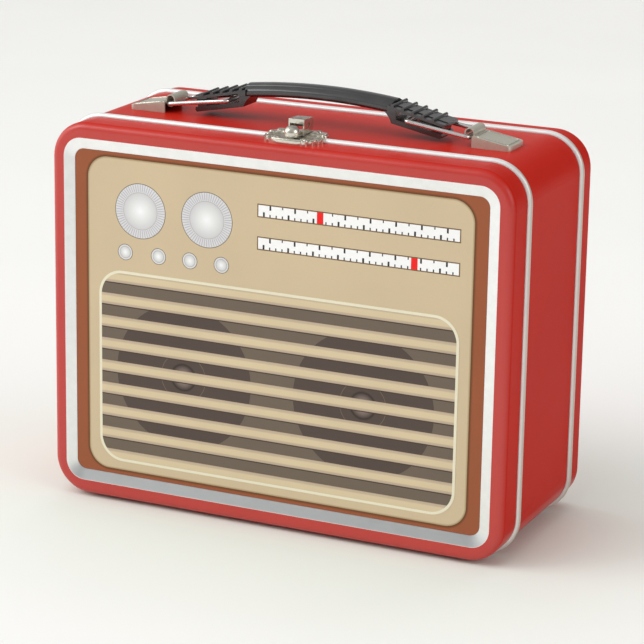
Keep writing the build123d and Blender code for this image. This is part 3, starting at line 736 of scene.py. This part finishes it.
def spaced(outline, count, start):
    """Points at equal steps round an outline, counted from one of its own points."""
    route = [Vector(point) for point in outline[start:] + outline[:start]]
    route.append(route[0])
    lengths = [(after - before).length for before, after in zip(route, route[1:])]
    step = sum(lengths) / count
    points, travelled, leg = [], 0.0, 0
    for index in range(count):
        while travelled + lengths[leg] < index * step:
            travelled += lengths[leg]
            leg += 1
        share = (index * step - travelled) / lengths[leg] if lengths[leg] else 0.0
        points.append(route[leg].lerp(route[leg + 1], share))
    return points


def latch_ornament(metal):
    """Beads on the scallops, a string of beads inside them, petals and a lip, on the plate's halves."""
    base_low, base_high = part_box("latch_base")
    keeper_low, keeper_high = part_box("latch_keeper")
    hasp_low, hasp_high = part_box("latch_hasp")
    centre = Vector(((keeper_low.x + keeper_high.x) / 2, (keeper_low.y + base_high.y) / 2, 0))
    reach_x = (keeper_high.x - keeper_low.x) / 2 - PLATE_LOBE
    reach_y = (base_high.y - keeper_low.y) / 2 - PLATE_LOBE
    seam = base_low.y
    halves = {"base": bmesh.new(), "keeper": bmesh.new()}
    tops, rivets = {}, []
    for half in halves:
        low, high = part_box("latch_rivets_" + half)
        tops[half] = high.z - RIVET_DOME
        for x in (low.x + RIVET_HEAD, high.x - RIVET_HEAD):
            rivets.append(Vector((x, (low.y + high.y) / 2, 0)))

    def place_on(point, radius):
        """The half a point lies on and its place, or nothing near the seam, the rivets or the hasp."""
        place = centre + Vector((point[0], point[1], 0))
        half = "base" if place.y > seam else "keeper"
        off_seam = abs(place.y - seam) > radius + SEAM_GAP
        rivet_room = radius + RIVET_HEAD + RIVET_GAP
        off_rivets = all((place.xy - rivet.xy).length > rivet_room for rivet in rivets)
        beside_hasp = abs(place.x - centre.x) > hasp_high.x - centre.x + radius + HASP_SIDE_GAP
        before_hasp = place.y < hasp_low.y - radius - HASP_FRONT_GAP
        if off_seam and off_rivets and (beside_hasp or before_hasp):
            return half, place + Vector((0, 0, tops[half]))
        return None

    def outline(inset, corner):
        return rounded(reach_x - inset, reach_y - inset, corner)

    for point in spaced(outline(0, PLATE_CORNER), PLATE_LOBES, OUTLINE_START):
        found = place_on(point, LOBE_ROOM)
        if found and (point.y > 0 or abs(point.x) > LIP_HALF):
            bead(halves[found[0]], found[1], turn=math.atan2(point.y, point.x), **LOBE_BEAD)
    for point in spaced(outline(STRING_INSET, PLATE_CORNER - STRING_INSET), STRING_BEADS, OUTLINE_START):
        found = place_on(point, STRING_ROOM)
        if found:
            bead(halves[found[0]], found[1], **STRING_BEAD)
    for side in (-1, 1):
        for x, y, turn in PETALS:
            found = place_on(Vector((side * x * MM, y * MM)), PETAL_ROOM)
            if found:
                angle = math.radians(turn if side > 0 else 180 - turn)
                petal(halves[found[0]], found[1], turn=angle, **PETAL)
    # the smooth lip along the keeper's front edge
    lip = []
    for step in range(21):
        x = LIP_HALF * (step / 10 - 1)
        bow = LIP_BOW * (1 - (x / LIP_HALF) ** 2)
        lip.append(centre + Vector((x, -reach_y - LIP_OUT - bow, tops["keeper"])))
    tube(halves["keeper"], lip, LIP_RADIUS, closed=False, sides=12)
    finished("latch_ornament_base", halves["base"], metal, "body", smooth=True)
    finished("latch_ornament_keeper", halves["keeper"], metal, "lid", smooth=True)


def bracket_borders(metal):
    """A raised line pressed round the top of each bracket's wedge."""
    slope = (CAP_INNER_HEIGHT - CAP_OUTER_HEIGHT) / CAP_LENGTH
    for name, side in (("left", -1), ("right", 1)):
        low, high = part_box("bracket_" + name)
        outer = high.x if side > 0 else low.x
        middle_y = (low.y + high.y) / 2
        half_x = CAP_LENGTH / 2 - BORDER_INSET
        half_y = (high.y - low.y) / 2 - BORDER_INSET
        path = []
        for x, y in rounded(half_x, half_y, BORDER_CORNER, steps=6):
            height = CAP_INNER_HEIGHT - slope * (CAP_LENGTH / 2 + x)
            path.append(Vector((outer + side * (x - CAP_LENGTH / 2), middle_y + y, CASE_TOP + height)))
        mesh = bmesh.new()
        tube(mesh, path, BORDER_RADIUS)
        finished("bracket_border_" + name, mesh, metal, "body", smooth=True)


# ---------------------------------------------------------------- the CAD nodes' materials


def dress(names, material):
    """Gives CAD nodes a material and a slot."""
    for name in names:
        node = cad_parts[name]
        if not node.material_slots:
            node.data.materials.append(material)
        for entry in node.material_slots:
            entry.material = material


def painted_shade_on_sides(look):
    """Painted shade mask, strongest where the surface faces left or right."""
    return look.spread(look.math("ABSOLUTE", look.split(look.normal)[0]), 0.25, 0.85, 0.0, 0.85)


def painted_shade_on_lower_slope(look):
    """Painted shade mask, strongest where the surface leans upward."""
    return look.spread(look.split(look.normal)[2], 0.05, 0.25, 0.0, 0.85)


def dress_nodes():
    """Gives every CAD node its material, and returns the one the latch's relief shares."""
    dress(["body_band"], painted_sheet("enamel_band"))
    lid_look = painted_sheet(
        "enamel_lid", front_face=LID_FRONT, field_inset=5.7 * MM, field_depth=1.8 * MM
    )
    dress(["lid_pan"], lid_look)
    back_look = painted_sheet(
        "enamel_back", rear_face=BACK_REAR, field_inset=8.7 * MM, field_depth=0.8 * MM
    )
    dress(["back_pan"], back_look)
    rolled = bright_tin(
        "tin_rolled",
        color=(0.90, 0.90, 0.89),
        brush=(1.0, 1.0, 1.0),
        rough=(0.30, 0.38),
        shine=0.5,
        painted_shade_where=painted_shade_on_sides,
        # painted shade on the rims where they face left or right
        painted_shade_color=(0.46, 0.40, 0.34),
    )
    dress(["rim_front", "rim_back"], rolled)
    bevelled = bright_tin(
        "tin_bevelled",
        color=(0.88, 0.88, 0.87),
        brush=(0.25, 1.0, 1.0),
        rough=(0.31, 0.40),
        shine=1.0,
        painted_shade_where=painted_shade_on_lower_slope,
        # painted shade on the frame's upward-leaning lower bevel
        painted_shade_color=(0.60, 0.62, 0.63),
    )
    dress(["front_frame"], bevelled)
    dress(["print_panel"], panel_look())
    nickel = plated(
        "nickel_plate",
        color=(0.74, 0.71, 0.62),
        tarnish=(0.34, 0.30, 0.23),
        rough=(0.14, 0.26),
        shine=0.92,
        spotting=0.25,
    )
    dress(["latch_base", "latch_keeper", "latch_hasp"], nickel)
    dress(["latch_rivets_base", "latch_rivets_keeper"], nickel)
    dull_nickel = plated(
        "nickel_bracket",
        color=(0.60, 0.57, 0.48),
        tarnish=(0.42, 0.39, 0.31),
        rough=(0.28, 0.36),
        shine=0.55,
        spotting=0.12,
    )
    dress(["bracket_left", "bracket_right"], dull_nickel)
    wire = plated(
        "bright_wire",
        color=(0.80, 0.79, 0.77),
        tarnish=(0.42, 0.40, 0.36),
        rough=(0.12, 0.26),
        shine=0.9,
    )
    dress(["bail_left", "bail_right"], wire)
    dark_pin = plated(
        "pin_steel",
        color=(0.30, 0.28, 0.25),
        tarnish=(0.12, 0.10, 0.08),
        rough=(0.34, 0.50),
        shine=0.9,
    )
    dress(["latch_pin", "hinge_pin_left", "hinge_pin_right"], dark_pin)
    steel = plated(
        "hinge_steel",
        color=(0.56, 0.55, 0.53),
        tarnish=(0.26, 0.23, 0.19),
        rough=(0.28, 0.46),
        shine=0.72,
    )
    leaves = [f"hinge_{half}_leaf_{side}" for half in ("body", "lid") for side in ("left", "right")]
    dress(leaves + ["hinge_rivets_body", "hinge_rivets_lid"], steel)
    dress(["handle"], moulded_plastic("handle_black"))
    return nickel


# ---------------------------------------------------------------- stage, light and camera

FLOOR_RADIUS = 7.0
BLUSH_REACH = 160 * MM


def stage_floor():
    """A plain pale floor with a faint mottle, painted a shade cooler near the case to cancel the red light
    the case bounces onto it.
    """
    mesh = bmesh.new()
    bmesh.ops.create_circle(mesh, cap_ends=True, radius=FLOOR_RADIUS, segments=96)
    data = bpy.data.meshes.new("floor")
    mesh.to_mesh(data)
    mesh.free()
    look = Look("floor_paper", Roughness=0.55, IOR=1.3)
    tone = look.ramp(look.noise(0.25, 2.0), (0.3, screen(238, 238, 236)), (0.7, screen(241, 241, 239)))
    x, y, _ = look.split(look.place)
    away = look.outline_distance(x, y, CASE_HALF_X, band_high.y, CASE_RADIUS)
    # painted light correction: a cooler floor colour near the case offsets its red bounce light
    near = look.spread(away, 0.0, BLUSH_REACH, 1.0, 0.0, smooth=True)
    look.feed("Base Color", look.mix(near, tone, screen(232, 237, 230)))
    look.bump(look.noise(1.2 * MM), 0.02 * MM, 0.2)
    data.materials.append(look.material)
    floor = bpy.data.objects.new("floor", data)
    bpy.context.scene.collection.objects.link(floor)


def studio_world():
    """Soft surroundings: brightest to the left, dimmer overhead, dark in front and at the back."""
    world = bpy.data.worlds.new("studio")
    world.use_nodes = True
    tree = world.node_tree
    bpy.context.scene.world = world
    where = tree.nodes.new("ShaderNodeTexCoord")
    axes = tree.nodes.new("ShaderNodeSeparateXYZ")
    tree.links.new(where.outputs["Generated"], axes.inputs[0])

    def part(axis, low, high, to_low, to_high):
        step = tree.nodes.new("ShaderNodeMapRange")
        step.interpolation_type = "SMOOTHSTEP"
        tree.links.new(axes.outputs[axis], step.inputs[0])
        for socket, number in zip(step.inputs[1:5], (low, high, to_low, to_high)):
            socket.default_value = number
        return step.outputs[0]

    def times(first, second):
        step = tree.nodes.new("ShaderNodeMath")
        step.operation = "MULTIPLY"
        tree.links.new(first, step.inputs[0])
        tree.links.new(second, step.inputs[1])
        return step.outputs[0]

    sides = times(part("X", -0.8, 0.8, 1.6, 0.85), part("Z", 0.35, 0.95, 1.0, 0.40))
    ends = times(part("Y", -0.95, -0.4, 0.28, 1.0), part("Y", 0.0, 0.7, 1.0, 0.28))
    strength = times(sides, ends)
    background = tree.nodes["Background"]
    background.inputs["Color"].default_value = (1.0, 0.995, 0.99, 1.0)
    tree.links.new(strength, background.inputs["Strength"])


def area_light(name, place, target, size, power, color, glint=True):
    """A square soft light; without glint it doesn't show in reflections."""
    lamp = bpy.data.lights.new(name, "AREA")
    lamp.shape = "SQUARE"
    lamp.size = size
    lamp.energy = power
    lamp.color = color
    light = bpy.data.objects.new(name, lamp)
    light.location = place
    light.rotation_mode = "QUATERNION"
    light.rotation_quaternion = (Vector(target) - Vector(place)).to_track_quat("-Z", "Y")
    light.visible_glossy = glint
    bpy.context.scene.collection.objects.link(light)


def lights():
    middle = (0.0, 0.0, CASE_MID)
    behind, far_floor = (0.0, 0.2, 0.0), (0.0, 2.0, 0.0)
    cool, warm = (0.98, 1.0, 1.0), (1.0, 0.96, 0.90)
    area_light("key_left", (-1.5, -0.9, 1.5), middle, size=1.1, power=9.0, color=(1.0, 0.99, 0.98))
    area_light("fill_right", (1.8, -0.3, 0.9), middle, size=1.2, power=7.0, color=(1.0, 0.99, 0.97))
    area_light("front_high", (-0.8, -1.7, 2.1), middle, size=2.3, power=26.5, color=cool, glint=False)
    area_light("overhead", (-0.5, 0.3, 2.2), behind, size=2.4, power=10.0, color=cool, glint=False)
    area_light("backdrop", (0.0, 2.4, 2.2), far_floor, size=2.4, power=20.0, color=warm, glint=False)


VIEW_TURNS = (24.734, 16.079, 0.974)
VIEW_ACROSS = 22.76 * MM
VIEW_RISE = 10.92 * MM
VIEW_DISTANCE = 1140.67 * MM
VIEW_LENS = 153.68


def camera():
    """Aims at a point on the case's front, then backs off along the line of sight."""
    yaw, pitch, roll = [math.radians(turn) for turn in VIEW_TURNS]
    aim = Vector((VIEW_ACROSS, cad_box[0].y, CASE_MID + VIEW_RISE))
    right = Vector((math.cos(yaw), math.sin(yaw), 0))
    ahead = Vector((-math.sin(yaw) * math.cos(pitch), math.cos(yaw) * math.cos(pitch), -math.sin(pitch)))
    up = right.cross(ahead)
    turned_right = math.cos(roll) * right + math.sin(roll) * up
    turned_up = math.cos(roll) * up - math.sin(roll) * right
    data = bpy.data.cameras.new("camera")
    data.lens = VIEW_LENS
    data.sensor_width = 36.0
    view = bpy.data.objects.new("camera", data)
    basis = Matrix((turned_right, turned_up, -ahead)).transposed().to_4x4()
    view.matrix_world = Matrix.Translation(aim - ahead * VIEW_DISTANCE) @ basis
    bpy.context.scene.collection.objects.link(view)
    bpy.context.scene.camera = view


bpy.context.scene.view_settings.view_transform = "Standard"
nickel_look = dress_nodes()
print_ground()
print_speakers()
print_slats()
print_dials()
print_scales()
latch_ornament(nickel_look)
bracket_borders(nickel_look)
stage_floor()
studio_world()
lights()
camera()
